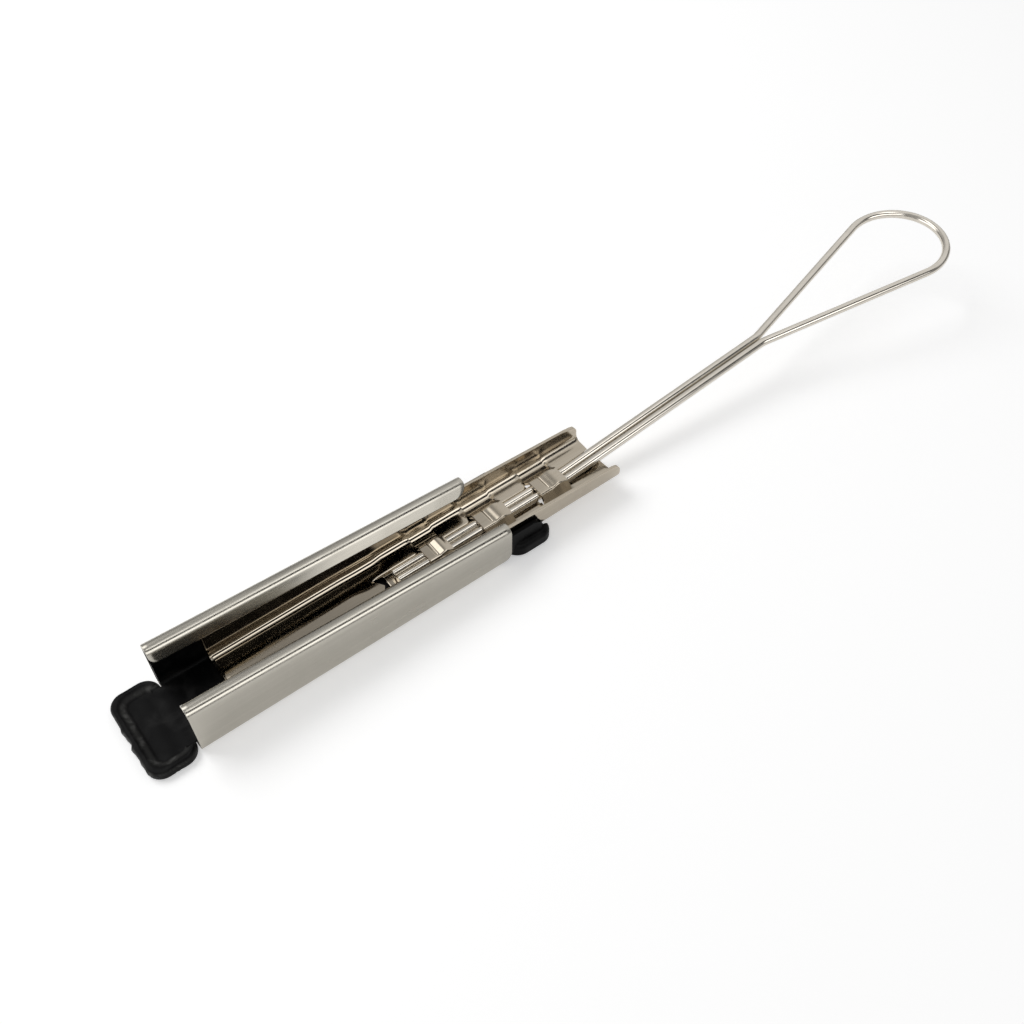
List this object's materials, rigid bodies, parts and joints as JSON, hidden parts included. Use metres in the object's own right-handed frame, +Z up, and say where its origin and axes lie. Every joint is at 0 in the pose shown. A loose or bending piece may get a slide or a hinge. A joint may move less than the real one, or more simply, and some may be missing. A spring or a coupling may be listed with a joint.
{
  "type": "drop cable clamp",
  "caption": "Drop cable clamp: a tapered folded steel shell with a moulded liner, a steel wedge channel that slides in it, and a long wire bail ending in a loop.",
  "frame": {"origin": "middle of the shell's flat underside", "axes": "+X runs along the shell from the cable entry end towards the bail loop, +Z up out of the open side between the lips"},
  "size_m": [0.2689, 0.031, 0.023],
  "materials": {
    "shell_steel": "satin rolled stainless sheet",
    "wedge_steel": "bright rolled stainless sheet",
    "wire_steel": "bright drawn stainless wire",
    "liner_black": "satin black moulding"
  },
  "bodies": {
    "housing": {"shell": "shell_steel", "liner": "liner_black"},
    "slider": {"wedge": "wedge_steel", "bail_wire": "wire_steel"}
  },
  "joints": [
    {"name": "wedge_slide", "type": "slide", "parent": "housing", "child": "slider", "axis": [1, 0, 0], "range_m": [-0.021, 0.01]}
  ]
}
